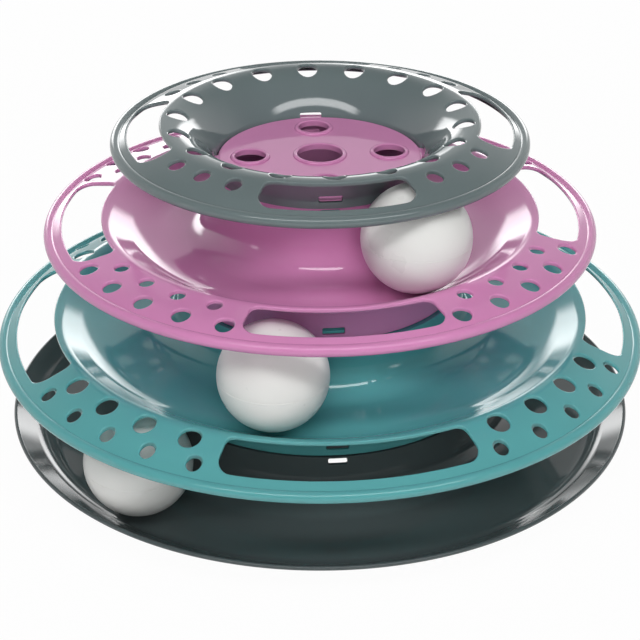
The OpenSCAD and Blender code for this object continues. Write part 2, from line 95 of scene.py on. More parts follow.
MID_INNER_ROW_OUT, MID_INNER_HOLE_D, MID_INNER_COUNT, MID_INNER_PITCH = 5.5, 5.4, 4, 10
TOP_OUTER_ROW_OUT, TOP_OUTER_HOLE_D, TOP_OUTER_COUNT, TOP_OUTER_PITCH = 12.5, 6.0, 3, 12
TOP_INNER_ROW_OUT, TOP_INNER_HOLE_D, TOP_INNER_COUNT = 1.6, 7.8, 18

SKIRT_DEPTH, TOP_SKIRT_DROP, SKIRT_LEAD = 19.8, 3.9, 0.6
WINDOW_W, WINDOW_H, WINDOW_UP = 8.3, 2.7, 2.5
CORE_WINDOW_W, CORE_WINDOW_H, CORE_WINDOW_DOWN = 7.0, 2.4, 0.6
TAB_REACH, TAB_TOP_INSET = 1.4, 0.2

DISC_HOLE_D, DISC_SMALL_HOLE_D, DISC_HOLE_IN = 17.0, 11.6, 12.2
DISC_BEAD_R, DISC_BEAD_H, DISC_BEAD_OUT = 1.0, 0.9, 0.7

# Azimuths of the balls at rest, in degrees from -Y towards +X
BASE_BALL_ANGLE, LOW_BALL_ANGLE, MID_BALL_ANGLE = -47.3, -17.1, 29.1


def slope(ramp):
    return math.atan2(ramp[1], ramp[0])


# Radii, from the hub of the middle track outwards
TOP_SKIRT_R = MID_HUB_R + FIT_GAP
TOP_CREST_R = TOP_SKIRT_R + TOP_RAMP[0]
TOP_LIP_R = TOP_CREST_R + TOP_FLANGE_W

MID_SHOULDER_R = MID_HUB_R + MID_SHOULDER_W
MID_FOOT_R = MID_SHOULDER_R + MID_HUB_DRAFT
MID_ORBIT_R = MID_FOOT_R + MID_BALL_PLAY + BALL_R
MID_FLAT_R = MID_ORBIT_R + MID_PATH_OUT
MID_RAMP_R = MID_FLAT_R + RAMP_ROUND * math.tan(slope(MID_RAMP) / 2)
MID_CREST_R = MID_RAMP_R + MID_RAMP[0]
MID_LIP_R = MID_CREST_R + MID_FLANGE_W
MID_SKIRT_R = MID_FOOT_R + MID_SKIRT_OUT
DISC_HOLE_CIRCLE_R = MID_HUB_R - DISC_HOLE_IN

LOW_HUB_R = MID_SKIRT_R - FIT_GAP
LOW_SHOULDER_R = LOW_HUB_R + LOW_SHOULDER_W
LOW_FOOT_R = LOW_SHOULDER_R + LOW_HUB_DRAFT
LOW_ORBIT_R = LOW_FOOT_R + LOW_BALL_PLAY + BALL_R
LOW_FLAT_R = LOW_ORBIT_R + LOW_PATH_OUT
LOW_RAMP_R = LOW_FLAT_R + RAMP_ROUND * math.tan(slope(LOW_RAMP) / 2)
LOW_CREST_R = LOW_RAMP_R + LOW_RAMP[0]
LOW_LIP_R = LOW_CREST_R + LOW_FLANGE_W
LOW_SKIRT_R = LOW_FOOT_R + LOW_SKIRT_OUT

BASE_HUB_R = LOW_SKIRT_R - FIT_GAP
BASE_SHOULDER_R = BASE_HUB_R + BASE_SHOULDER_W
BASE_FOOT_R = BASE_SHOULDER_R + BASE_HUB_DRAFT
BASE_ORBIT_R = BASE_FOOT_R + BASE_BALL_PLAY + BALL_R
BASE_WALL_R = BASE_ORBIT_R + BASE_WALL_OUT
BASE_RIM_R = BASE_WALL_R + BASE_WALL_RUN


def over_ball(out, angle, rounding, gap):
    """Height of a floor above the middle of the ball below it, whose path lies a distance out beyond the
    end of the floor's flat part."""
    reach = BALL_R + gap + WALL
    if math.asin(out / (reach + rounding)) < angle:
        return math.sqrt((reach + rounding) ** 2 - out ** 2) - rounding
    return (reach - (out - rounding * math.tan(angle / 2)) * math.sin(angle)) / math.cos(angle)


LOW_FLOOR = (BASE_FLOOR + BALL_GAP + BALL_R
             + over_ball(BASE_ORBIT_R - LOW_FLAT_R, slope(LOW_RAMP), RAMP_ROUND, LOW_HEADROOM))
MID_FLOOR = (LOW_FLOOR + BALL_GAP + BALL_R
             + over_ball(LOW_ORBIT_R - MID_FLAT_R, slope(MID_RAMP), RAMP_ROUND, MID_HEADROOM))
DISC = MID_FLOOR + BALL_GAP + 2 * BALL_R + TOP_HEADROOM + WALL - TOP_RAMP[1]

BASE_HUB_Z = LOW_FLOOR - WALL - FIT_GAP
LOW_HUB_Z = MID_FLOOR - WALL - FIT_GAP
LOW_SKIRT_Z = LOW_FLOOR - SKIRT_DEPTH
MID_SKIRT_Z = MID_FLOOR - SKIRT_DEPTH
TOP_SKIRT_Z = DISC - TOP_SKIRT_DROP

# Looks alone: the wall of the top ring leans out more and more, by way of a corner above the disc's edge and
# a crest corner that is moved outwards and upwards, both with roundings.
TOP_LEAN, TOP_LEAN_ROUND = (3.33, 5.77), 44.0
TOP_CREST_SHIFT = 1.33, -0.4

# Looks alone: roundings of the edges of shoulders, skirts, slots, holes and windows, and the balls' seams
SHOULDER_ROUND = 0.1
SKIRT_EDGE = 0.3
HOLE_EDGE = 0.6
DISC_UNDER_EDGE, DISC_WALL_DEPTH, DISC_BEAD_MARGIN = 0.4, 0.6, 0.25
WINDOW_EDGE = 0.25
SEAM_CHAMFER = 0.14

# Directions between which a lip's bead shows, in degrees from outwards towards upwards
BEAD_ANGLES = 134, -150

# How far a pierced stretch of a skirt and of a hub reaches past its windows
WINDOW_MARGIN = 1.2
CORE_WINDOW_MARGIN = 1.0
SEAT_MARGIN = 0.12

# Where the pierced stretch of each flange starts, from its crest corner, and where the disc's ends
LOW_PIERCE_IN, MID_PIERCE_OUT, TOP_PIERCE_IN = 0.4, 0.4, 4.5
DISC_INSET = 0.6

# Fineness, with lengths in millimetres

TURN_STEPS = 360
BALL_STEPS = 120
ARC_STEP = math.radians(3)
GRID_STEP = 1.2
OUTLINE_STEP = 1.2
EDGE_STEPS = 5
BEAD_STEPS = 12
TAB_STEPS = 6
POLE_STEPS, INNER_STEPS = 40, 12
DISC_STEP = 2.0
LONG_SIDE_STEP = 1.6 * OUTLINE_STEP
WINDOW_CORNER_POINTS = 4

# Least numbers of steps round a profile's corner, along a round stretch, round a hole and along an arc of a
# slot's outline, and of rings across a flange, rows up a wall and points in a ring of the disc
CORNER_LEAST, ARC_LEAST, HOLE_LEAST, SLOT_LEAST = 2, 4, 28, 6
FLANGE_LEAST, WALL_LEAST, DISC_LEAST = 2, 3, 8

# How far the first ring of the disc's points lies from its large hole, and how near to openings points may be
DISC_RING_OUT = 1.5
FLANGE_CLEAR, WALL_CLEAR, DISC_CLEAR = 0.6 * GRID_STEP, 0.3, 0.8

# A step too small to see, lengths taken as none, and the angle at which a ball closes
HAIR = 0.01
TOUCHING = 1e-6
MERGE_DISTANCE = 1e-7
POLE = math.pi / 2 - 0.001


# Profiles: paths in (r, z) whose corners have radii

def unit(v):
    return v / np.linalg.norm(v)


def right_of(a, b):
    d = unit(b - a)
    return np.array([d[1], -d[0]])


def cross_z(u, v):
    return u[0] * v[1] - u[1] * v[0]


def beside(path, radii, t):
    """The path a distance t to the right of another, with its corner radii."""
    last = len(path) - 1
    points, rounds = [], []
    for i, p in enumerate(path):
        if i == 0:
            points.append(p + t * right_of(path[0], path[1]))
            rounds.append(0)
            continue
        if i == last:
            points.append(p + t * right_of(path[i - 1], p))
            rounds.append(0)
            continue
        u, v = p - path[i - 1], path[i + 1] - p
        start, end = p + t * right_of(path[i - 1], p), p + t * right_of(p, path[i + 1])
        points.append(start + u * cross_z(end - start, v) / cross_z(u, v))
        rounds.append(max(radii[i] + t * math.copysign(1, cross_z(u, v)), 0) if radii[i] else 0)
    return points, rounds


def runs(path, radii, side):
    """Smooth stretches of a path as arrays of (r, z, normal r, normal z). The normal is on the left for
    side 1 and on the right for side -1, and a corner without a radius ends a stretch."""
    out, now = [], []
    for i in range(len(path)):
        before = side * -right_of(path[i - 1], path[i]) if i else None
        after = side * -right_of(path[i], path[i + 1]) if i < len(path) - 1 else None
        if before is None:
            now.append((*path[i], *after))
        elif after is None:
            now.append((*path[i], *before))
        elif not radii[i]:
            now.append((*path[i], *before))
            out.append(np.array(now))
            now = [(*path[i], *after)]
        else:
            u, w = unit(path[i - 1] - path[i]), unit(path[i + 1] - path[i])
            half = math.acos(np.clip(u @ w, -1, 1)) / 2
            centre = path[i] + unit(u + w) * radii[i] / math.sin(half)
            start = path[i] + u * radii[i] / math.tan(half) - centre
            sweep = math.copysign(math.pi - 2 * half, cross_z(-u, w))
            steps = max(int(math.ceil(abs(sweep) / ARC_STEP)), CORNER_LEAST)
            outward = 1 if start @ before > 0 else -1
            for k in range(steps + 1):
                c, s = math.cos(sweep * k / steps), math.sin(sweep * k / steps)
                arm = np.array([start[0] * c - start[1] * s, start[0] * s + start[1] * c])
                now.append((*(centre + arm), *(outward * unit(arm))))
    out.append(np.array(now))
    return out


def cut(run, axis, value):
    """The stretch in two, at the first point where its r (axis 0) or z (axis 1) passes a value."""
    for i in range(len(run) - 1):
        a, b = run[i], run[i + 1]
        if (a[axis] - value) * (b[axis] - value) < 0:
            mid = a + (b - a) * (value - a[axis]) / (b[axis] - a[axis])
            mid[2:] = unit(mid[2:])
            return np.vstack([run[:i + 1], mid]), np.vstack([mid, run[i + 1:]])
    raise ValueError(f"the stretch doesn't pass {value}")


def arc_run(centre, radius, start, end):
    """A round stretch between two directions in degrees, with its normal outwards."""
    steps = max(int(abs(math.radians(end - start)) / ARC_STEP / 2), ARC_LEAST)
    rows = []
    for k in range(steps + 1):
        a = math.radians(start + (end - start) * k / steps)
        n = np.array([math.cos(a), math.sin(a)])
        rows.append((*(centre + radius * n), *n))
    return np.array(rows)


def lookup(run, axis):
    """A function from r (axis 0) or z (axis 1) to the other coordinate and the normal."""
    order = np.argsort(run[:, axis], kind="stable")
    keys = run[order, axis]

    def at(value):
        other = np.interp(value, keys, run[order, 1 - axis])
        n = np.stack([np.interp(value, keys, run[order, 2]), np.interp(value, keys, run[order, 3])])
        return other, n / np.linalg.norm(n, axis=0)
    return at


# Meshes with their own normals

def all_round(n):
    """Azimuths of n directions all round, in radians from -Y towards +X."""
    return np.linspace(0, 2 * math.pi, n, endpoint=False)


class Surface:
    """Vertices with normals, and triangles and quads that are turned to agree with them."""

    def __init__(self, turn_steps=TURN_STEPS):
        self.points, self.normals, self.faces = [], [], {3: [], 4: []}
        self.count = 0
        self.turn_steps = turn_steps

    def add(self, points, normals):
        start = self.count
        self.points.append(np.asarray(points, float))
        self.normals.append(np.asarray(normals, float))
        self.count += len(points)
        return start

    def strip(self, first, second):
        """Quads between two closed rows of vertex numbers."""
        self.faces[4].append(np.stack([first, np.roll(first, -1), np.roll(second, -1), second], 1))

    def revolve(self, run):
        n = self.turn_steps
        angles = all_round(n)
        s, c = np.sin(angles), np.cos(angles)
        rows = []
        for r, z, nr, nz in run:
            points = np.stack([r * s, -r * c, np.full_like(s, z)], 1)
            normals = np.stack([nr * s, -nr * c, np.full_like(s, nz)], 1)
            start = self.add(points, normals)
            rows.append(np.arange(start, start + n))
        for a, b in zip(rows, rows[1:]):
            self.strip(a, b)

    def flat(self, corners):
        """One flat face with four corners and its own vertices."""
        corners = np.asarray(corners, float)
        n = np.cross(corners[1] - corners[0], corners[2] - corners[0])
        start = self.add(corners, np.tile(n / np.linalg.norm(n), (4, 1)))
        self.faces[4].append(np.arange(start, start + 4)[None])

    def piece(self, name, material, slot, body, *nodes):
        points = np.vstack(self.points)
        normals = np.vstack(self.normals)
        normals /= np.linalg.norm(normals, axis=1)[:, None]
        faces = []
        for corners, groups in self.faces.items():
            if not groups:
                continue
            rows = np.vstack(groups)
            p = points[rows]
            across = np.cross(p[:, 2] - p[:, 0], p[:, -1] - p[:, 1])
            against = (across * normals[rows].sum(1)).sum(1) < 0
            rows[against] = rows[against][:, ::-1]
            faces += rows.tolist()
        mesh = bpy.data.meshes.new(name)
        mesh.from_pydata((points * MM).tolist(), [], faces)
        mesh.shade_smooth()
        mesh.normals_split_custom_set_from_vertices(normals.tolist())
        mesh.materials.append(material)
        piece = bpy.data.objects.new(name, mesh)
        bpy.context.scene.collection.objects.link(piece)
        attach(piece, body)
        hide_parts(*nodes)
        return piece


# Outlines of openings: points and the directions from them into the wall round them

def direction(angle):
    return np.stack([np.sin(angle), -np.cos(angle)], -1)


def circle_outline(centre, radius):
    out = direction(all_round(max(int(2 * math.pi * radius / OUTLINE_STEP), HOLE_LEAST)))
    return np.asarray(centre) + radius * out, out


def kidney_outline(r_in, r_out, half, turn):
    """Kidney between two radii, centred on the azimuth turn (radians from -Y towards +X)."""
    ri, ro = r_in + SLOT_CORNER_IN, r_out - SLOT_CORNER_OUT
    a_in = half - math.asin(SLOT_CORNER_IN / ri)
    a_out = half - math.asin(SLOT_CORNER_OUT / ro)
    side = math.pi / 2
    arcs = [((0, 0), r_out, turn - a_out, turn + a_out),
            (ro * direction(turn + a_out), SLOT_CORNER_OUT, turn + a_out, turn + half + side),
            (ri * direction(turn + a_in), SLOT_CORNER_IN, turn + half + side, turn + a_in + 2 * side)]
    points, outs = [], []
    for centre, radius, first, last in arcs:
        n = max(int(abs(last - first) * radius / OUTLINE_STEP), SLOT_LEAST)
        out = direction(np.linspace(first, last, n + 1))
        points.append(np.asarray(centre) + radius * out)
        outs.append(out)
    n = max(int(2 * a_in * r_in / OUTLINE_STEP), SLOT_LEAST)
    angles = np.linspace(turn + a_in, turn - a_in, n + 1)
    points.append(r_in * direction(angles))
    outs.append(-direction(angles))
    for centre, radius, first, last in (
            (ri * direction(turn - a_in), SLOT_CORNER_IN, turn - a_in - 2 * side, turn - half - side),
            (ro * direction(turn - a_out), SLOT_CORNER_OUT, turn - half - side, turn - a_out)):
        first, last = first + 4 * side, last + 4 * side
        n = max(int(abs(last - first) * radius / OUTLINE_STEP), SLOT_LEAST)
        out = direction(np.linspace(first, last, n + 1))
        points.append(np.asarray(centre) + radius * out)
        outs.append(out)
    return tidy_outline(np.vstack(points), np.vstack(outs))


def tidy_outline(points, outs):
    """The outline without double points, and with long sides in steps."""
    full_points, full_outs = [], []
    n = len(points)
    for k in range(n):
        a, b, na, nb = points[k], points[(k + 1) % n], outs[k], outs[(k + 1) % n]
        length = np.linalg.norm(b - a)
        if length < TOUCHING:
            continue
        parts = max(int(length / LONG_SIDE_STEP), 1)
        for j in range(parts):
            full_points.append(a + (b - a) * j / parts)
            full_outs.append(unit(na + (nb - na) * j / parts))
    return np.array(full_points), np.array(full_outs)


def window_outline(centre, width, height, corner):
    """Upright rectangle with rounded corners."""
    x, y = width / 2 - corner, height / 2 - corner
    q = math.pi / 2
    points, outs = [], []
    for sx, sy, first in ((1, -1, 0), (1, 1, q), (-1, 1, 2 * q), (-1, -1, 3 * q)):
        out = direction(np.linspace(first, first + q, WINDOW_CORNER_POINTS))
        points.append(np.asarray(centre) + np.array([sx * x, sy * y]) + corner * out)
        outs.append(out)
    return tidy_outline(np.vstack(points), np.vstack(outs))


def inside(points, outline):
    """Which points lie inside a closed outline."""
    x, y = points[:, 0], points[:, 1]
    hit = np.zeros(len(points), bool)
    a, b = outline, np.roll(outline, -1, 0)
    for (ax, ay), (bx, by) in zip(a, b):
        if ay == by:
            continue
        crosses = (ay > y) != (by > y)
        hit ^= crosses & (x < ax + (y - ay) * (bx - ax) / (by - ay))
    return hit


# Edges of openings: rows of distance from the outline, height, and outward and upward part of the normal

def soft_edge(radius, first=None):
    """A rounded edge. first is where a flat stretch before it starts, if it has one."""
    rows = [(first, 0, 0, 1)] if first else []
    for k in range(EDGE_STEPS + 1):
        a = math.pi / 2 * k / EDGE_STEPS
        rows.append((radius * (1 - math.sin(a)), -radius * (1 - math.cos(a)), -math.sin(a), math.cos(a)))
    return [rows]


def beaded_edge():
    """A raised bead round a hole, in two stretches with a crease where the bead meets the disc."""
    drop = DISC_BEAD_H - DISC_BEAD_R
    first = math.asin(-drop / DISC_BEAD_R)
    last = math.acos(-DISC_BEAD_OUT / DISC_BEAD_R)
    rows = []
    for k in range(BEAD_STEPS + 1):
        a = first + (last - first) * k / BEAD_STEPS
        rows.append((DISC_BEAD_OUT + DISC_BEAD_R * math.cos(a), drop + DISC_BEAD_R * math.sin(a),
                     math.cos(a), math.sin(a)))
    foot, wall_top = rows[0][0], rows[-1][1]
    wall = [(0, wall_top, -1, 0), (0, -DISC_WALL_DEPTH, -1, 0)]
    return [[(foot + DISC_BEAD_MARGIN, 0, 0, 1), (foot, 0, 0, 1)], rows, wall]


class Plan:
    """A stretch of a moulding seen from above: its two sides as functions of r."""

    def __init__(self, upper, under):
        self.sides = lookup(upper, 0), lookup(under, 0)

    def at(self, side, uv):
        r = np.linalg.norm(uv, axis=1)
        z, (nr, nz) = self.sides[side](r)
        x, y = uv[:, 0] / r, uv[:, 1] / r
        return np.stack([uv[:, 0], uv[:, 1], z], 1), np.stack([nr * x, nr * y, nz], 1)


class Wall:
    """A stretch of a round wall unrolled: distance round it at radius r0, and height."""

    def __init__(self, r0, one, other):
        self.r0 = r0
        self.sides = lookup(one, 1), lookup(other, 1)

    def at(self, side, uv):
        a = uv[:, 0] / self.r0
        r, (nr, nz) = self.sides[side](uv[:, 1])
        s, c = np.sin(a), np.cos(a)
        return np.stack([r * s, -r * c, uv[:, 1]], 1), np.stack([nr * s, -nr * c, nz], 1)


def pierce(surface, chart, grid, borders, openings, keep):
    """Both sides of a sheet with openings in it. grid holds points of the chart, borders closed rows of
    them that bound it, and each opening is (outline, directions, edge of side 0, edge of side 1)."""
    points = [grid]
    edges = []
    for row in borders:
        edges += [(row[k], row[(k + 1) % len(row)]) for k in range(len(row))]
    total = len(grid)
    for outline, outs, edge_0, _ in openings:
        first = outline + edge_0[0][0][0] * outs
        points.append(first)
        edges += [(total + k, total + (k + 1) % len(first)) for k in range(len(first))]
        total += len(first)
    flat = np.vstack(points)
    found = delaunay_2d_cdt([Vector(p) for p in flat.tolist()], edges, [], 0, MERGE_DISTANCE)
    new_points = np.array([tuple(v) for v in found[0]])
    triangles = np.array([t for t in found[2] if len(t) == 3])
    centres = new_points[triangles].mean(1)
    good = keep(centres)
    for outline, outs, edge_0, _ in openings:
        good &= ~inside(centres, outline + edge_0[0][0][0] * outs)
    triangles = triangles[good]
    for side in (0, 1):
        start = surface.add(*chart.at(side, new_points))
        surface.faces[3].append(triangles + start)
    for outline, outs, edge_0, edge_1 in openings:
        stretches = [[(0, row) for row in part] for part in edge_0]
        backs = [[(1, row) for row in reversed(part)] for part in reversed(edge_1)]
        stretches[-1] += backs[0]
        stretches += backs[1:]
        for part in stretches:
            rows = []
            for side, (d, dz, nd, nz) in part:
                uv = outline + d * outs
                p, n = chart.at(side, uv)
                ahead, _ = chart.at(side, uv + HAIR * outs)
                t = (ahead - p) / np.linalg.norm(ahead - p, axis=1)[:, None]
                begin = surface.add(p + dz * n, nd * t + nz * n)
                rows.append(np.arange(begin, begin + len(outline)))
            for a, b in zip(rows, rows[1:]):
                surface.strip(a, b)


def clear_of(points, openings, margin):
    """Which points stay clear of every opening and its edge."""
    good = np.ones(len(points), bool)
    for outline, outs, edge_0, _ in openings:
        reach = edge_0[0][0][0] + margin
        low, high = outline.min(0) - reach, outline.max(0) + reach
        near = np.where(np.all((points > low) & (points < high), 1))[0]
        if not len(near):
            continue
        gaps = np.linalg.norm(points[near][:, None] - outline[None], axis=2).min(1)
        bad = (gaps < reach) | inside(points[near], outline)
        good[near[bad]] = False
    return good


def pierced_flange(surface, upper, under, r_in, r_out, openings):
    """A ring of a moulding, between two radii, with openings through it."""
    rings = max(int((r_out - r_in) / GRID_STEP), FLANGE_LEAST)
    out = direction(all_round(TURN_STEPS))
    radii = np.linspace(r_in, r_out, rings + 1)
    middle = np.vstack([r * out for r in radii[1:-1]])
    middle = middle[clear_of(middle, openings, FLANGE_CLEAR)]
    grid = np.vstack([r_in * out, r_out * out, middle])
    n = TURN_STEPS
    limit_in = r_in * math.cos(math.pi / n) - TOUCHING
    pierce(surface, Plan(upper, under), grid, [list(range(n)), list(range(n, 2 * n))], openings,
           lambda c: np.linalg.norm(c, axis=1) > limit_in)


def pierced_wall(surface, r0, one, other, z_low, z_high, openings):
    """A round wall, between two heights, with openings through it. Its seam lies half way between windows."""
    rows = max(int((z_high - z_low) / GRID_STEP), WALL_LEAST)
    angles = np.linspace(-math.pi / 4, 2 * math.pi - math.pi / 4, TURN_STEPS + 1)
    n = len(angles)
    low = np.stack([angles * r0, np.full(n, z_low)], 1)
    high = np.stack([angles * r0, np.full(n, z_high)], 1)
    middle = np.vstack([np.stack([angles * r0, np.full(n, z)], 1)
                        for z in np.linspace(z_low, z_high, rows + 1)[1:-1]])
    middle = middle[clear_of(middle, openings, WALL_CLEAR)]
    grid = np.vstack([low, high, middle])
    border = list(range(n)) + list(range(2 * n - 1, n - 1, -1))
    pierce(surface, Wall(r0, one, other), grid, [border], openings, lambda c: np.ones(len(c), bool))


# Openings of the tiers

QUARTERS = [math.pi / 2 * k for k in range(4)]
FLANGE_EDGES = soft_edge(HOLE_EDGE), soft_edge(HOLE_EDGE)


def slot_openings(r_in, r_out, half):
    return [(*kidney_outline(r_in, r_out, math.radians(half), turn), *FLANGE_EDGES)
            for turn in QUARTERS]


def group_openings(row_r, diameter, count, pitch):
    """A row of holes in each of the four groups, half way between the slots."""
    found = []
    for turn in QUARTERS:
        for k in range(count):
            a = turn + math.pi / 4 + math.radians((k - (count - 1) / 2) * pitch)
            found.append((*circle_outline(row_r * direction(a), diameter / 2), *FLANGE_EDGES))
    return found


def ring_openings(row_r, diameter, count):
    """A row of holes all round."""
    return [(*circle_outline(row_r * direction(2 * math.pi * k / count), diameter / 2), *FLANGE_EDGES)
            for k in range(count)]


def window_openings(r0, width, z_low, height):
    edge = soft_edge(WINDOW_EDGE)
    return [(*window_outline((turn * r0, z_low + height / 2), width, height, 2 * WINDOW_EDGE), edge, edge)
            for turn in QUARTERS]


# The mouldings

def as_path(*points):
    return [np.array(p, float) for p in points]


def flange_path(crest, bend, lip_r, lip_z):
    return as_path(crest, (lip_r - bend[0], lip_z + bend[1]), (lip_r - CREASE_IN, lip_z + CREASE_UP),
                   (lip_r - BEAD_R, lip_z + WALL / 2))


def hub_path(r_start, r, z, shoulder_r, skirt_z, foot_r, floor_z):
    seat = skirt_z - FIT_GAP
    return as_path((r_start, z), (r, z), (r, seat), (shoulder_r, seat), (foot_r, floor_z))


HUB_RADII = [0, HUB_EDGE_ROUND, 0, SHOULDER_ROUND, HUB_ROUND]
TRACK_RADII = HUB_RADII + [RAMP_ROUND, CREST_ROUND, FLANGE_ROUND, 0, 0]


def both_sides(path, radii):
    """The stretches of the upper side of a moulding, which the path gives, and of its underside."""
    return runs(path, radii, 1), runs(*beside(path, radii, WALL), -1)


def add_tabs(surface, r, hub_z, skirt_z):
    """Snap tabs that fill the windows of the skirt above."""
    z = skirt_z + WINDOW_UP + FIT_GAP
    h = min(WINDOW_H - 2 * FIT_GAP, hub_z - TAB_TOP_INSET - z)
    half = (WINDOW_W / 2 - FIT_GAP) / r
    profile = [(r - WALL / 2, z), (r + TAB_REACH, z), (r + TAB_REACH, z + h / 2), (r - WALL / 2, z + h)]
    for turn in QUARTERS:
        rows = [[(p * math.sin(a), -p * math.cos(a), q) for p, q in profile]
                for a in np.linspace(turn - half, turn + half, TAB_STEPS + 1)]
        for a, b in zip(rows, rows[1:]):
            for k in range(4):
                j = (k + 1) % 4
                surface.flat([a[k], b[k], b[j], a[j]])
        surface.flat(rows[0][::-1])
        surface.flat(rows[-1])


def add_skirt(surface, r, z, floor_z):
    """The skirt under a tier, with its four windows and a lead-in at its end."""
    top = floor_z - WALL / 2
    z_low, z_high = z + WINDOW_MARGIN, z + WINDOW_UP + WINDOW_H + WINDOW_MARGIN
    end = as_path((r, z_low), (r, z + SKIRT_LEAD), (r + SKIRT_LEAD, z), (r + WALL, z), (r + WALL, z_low))
    for run in runs(end, [0, SKIRT_EDGE, SKIRT_EDGE, SKIRT_EDGE, 0], -1):
        surface.revolve(run)
    inner = np.array([(r, z_low, -1, 0), (r, z_high, -1, 0)], float)
    outer = np.array([(r + WALL, z_low, 1, 0), (r + WALL, z_high, 1, 0)], float)
    r0 = r + WALL
    pierced_wall(surface, r0, outer, inner, z_low, z_high,
                 window_openings(r0, WINDOW_W, z + WINDOW_UP, WINDOW_H))
    surface.revolve(np.array([(r, z_high, -1, 0), (r, top, -1, 0)], float))
    surface.revolve(np.array([(r + WALL, z_high, 1, 0), (r + WALL, top, 1, 0)], float))


def add_hub_wall(surface, upper, under, skirt_z):
    """A hub from its top to just below the windows under its shoulder. Returns what is left of both sides."""
    seat = skirt_z - FIT_GAP
    window_z = seat - CORE_WINDOW_DOWN - CORE_WINDOW_H
    high, low = seat - SEAT_MARGIN, window_z - CORE_WINDOW_MARGIN
    shoulder, rest = cut(upper[1], 1, high)
    middle, rest = cut(rest, 1, low)
    inner_top, inner_middle = cut(under[1], 1, high)
    inner_low, under_rest = cut(under[3], 1, low)
    # the ledge inside slopes by a hair, so that the wall has one radius at each height
    ledge = under[2].copy()
    ledge[:, 1] -= np.linspace(HAIR, 2 * HAIR, len(ledge))
    inner_low[0, 1] -= 3 * HAIR
    for run in (upper[0], shoulder, inner_top):
        surface.revolve(run)
    r0 = middle[0][0]
    pierced_wall(surface, r0, middle, np.vstack([inner_middle, ledge, inner_low]), low, high,
                 window_openings(r0, CORE_WINDOW_W, window_z, CORE_WINDOW_H))
    return rest, under_rest


def add_flange(surface, upper, under, tail, r_in, lip_r, lip_z, openings):
    """The stretch from r_in to the lip, pierced, with the bead at its edge."""
    r_out = lip_r - CREASE_IN
    inner, outer = cut(upper, 0, r_in)
    under_inner, under_outer = cut(under, 0, r_in)
    surface.revolve(inner)
    surface.revolve(under_inner)
    pierced_flange(surface, outer, under_outer, r_in, r_out, openings)
    surface.revolve(tail)
    surface.revolve(arc_run(np.array([lip_r - BEAD_R, lip_z]), BEAD_R, *BEAD_ANGLES))


def base_tray():
    rim = np.array([BASE_RIM_R - RIM_INSET, BASE_FLOOR + BASE_RIM_RISE])
    wall_foot = np.array([BASE_WALL_R, BASE_FLOOR])
    path = hub_path(BASE_HUB_R - HUB_LEDGE, BASE_HUB_R, BASE_HUB_Z, BASE_SHOULDER_R, LOW_SKIRT_Z, BASE_FOOT_R,
                    BASE_FLOOR)
    path += [wall_foot, rim]
    s = Surface()
    upper, under = both_sides(path, HUB_RADII + [BASE_WALL_ROUND, 0])
    s.revolve(under[0])
    rest, under_rest = add_hub_wall(s, upper, under, LOW_SKIRT_Z)
    s.revolve(rest)
    s.revolve(under_rest)
    lean = math.degrees(slope(rim - wall_foot))
    s.revolve(arc_run(rim + right_of(wall_foot, rim) * WALL / 2, WALL / 2, lean + 90, lean - 90))
    add_tabs(s, BASE_HUB_R, BASE_HUB_Z, LOW_SKIRT_Z)
    return s


def lower_track():
    lip_r, crest_r, crest_z = LOW_LIP_R, LOW_CREST_R, LOW_FLOOR + LOW_RAMP[1]
    lip_z = crest_z - LOW_LIP_DROP
    path = hub_path(LOW_HUB_R - HUB_LEDGE, LOW_HUB_R, LOW_HUB_Z, LOW_SHOULDER_R, MID_SKIRT_Z, LOW_FOOT_R,
                    LOW_FLOOR)
    path += [np.array([LOW_RAMP_R, LOW_FLOOR])]
    path += flange_path((crest_r, crest_z), LOW_BEND, lip_r, lip_z)
    openings = (
        slot_openings(crest_r + LOW_SLOT_INSET, lip_r - LOW_SLOT_MARGIN, LOW_SLOT_HALF_ANGLE)
        + group_openings(lip_r - LOW_OUTER_ROW_IN, LOW_OUTER_HOLE_D, LOW_OUTER_COUNT, LOW_OUTER_PITCH)
        + group_openings(crest_r + LOW_INNER_ROW_OUT, LOW_INNER_HOLE_D, LOW_INNER_COUNT, LOW_INNER_PITCH))
    s = Surface()
    upper, under = both_sides(path, TRACK_RADII)
    s.revolve(under[0])
    rest, under_rest = add_hub_wall(s, upper, under, MID_SKIRT_Z)
    add_flange(s, rest, under_rest, upper[2], crest_r - LOW_PIERCE_IN, lip_r, lip_z, openings)
    add_skirt(s, LOW_SKIRT_R, LOW_SKIRT_Z, LOW_FLOOR)
    add_tabs(s, LOW_HUB_R, LOW_HUB_Z, MID_SKIRT_Z)
    return s


def add_disc(surface, r_out):
    """The disc that closes the hub, with its beaded holes."""
    upper = np.array([(0, DISC, 0, 1), (r_out, DISC, 0, 1)])
    under = np.array([(0, DISC - WALL, 0, -1), (r_out, DISC - WALL, 0, -1)])
    holes = [((0, 0), DISC_HOLE_D)]
    holes += [(DISC_HOLE_CIRCLE_R * direction(turn), DISC_SMALL_HOLE_D) for turn in QUARTERS]
    edge = beaded_edge()
    under_edge = soft_edge(DISC_UNDER_EDGE, edge[0][0][0])
    openings = [(*circle_outline(c, d / 2), edge, under_edge) for c, d in holes]
    border = r_out * direction(all_round(TURN_STEPS))
    rings = []
    for r in np.arange(DISC_HOLE_D / 2 + DISC_RING_OUT, r_out - DISC_STEP / 2, DISC_STEP):
        rings.append(r * direction(all_round(max(int(2 * math.pi * r / DISC_STEP), DISC_LEAST))))
    middle = np.vstack(rings)
    middle = middle[clear_of(middle, openings, DISC_CLEAR)]
    pierce(surface, Plan(upper, under), np.vstack([border, middle]), [list(range(TURN_STEPS))], openings,
           lambda c: np.ones(len(c), bool))


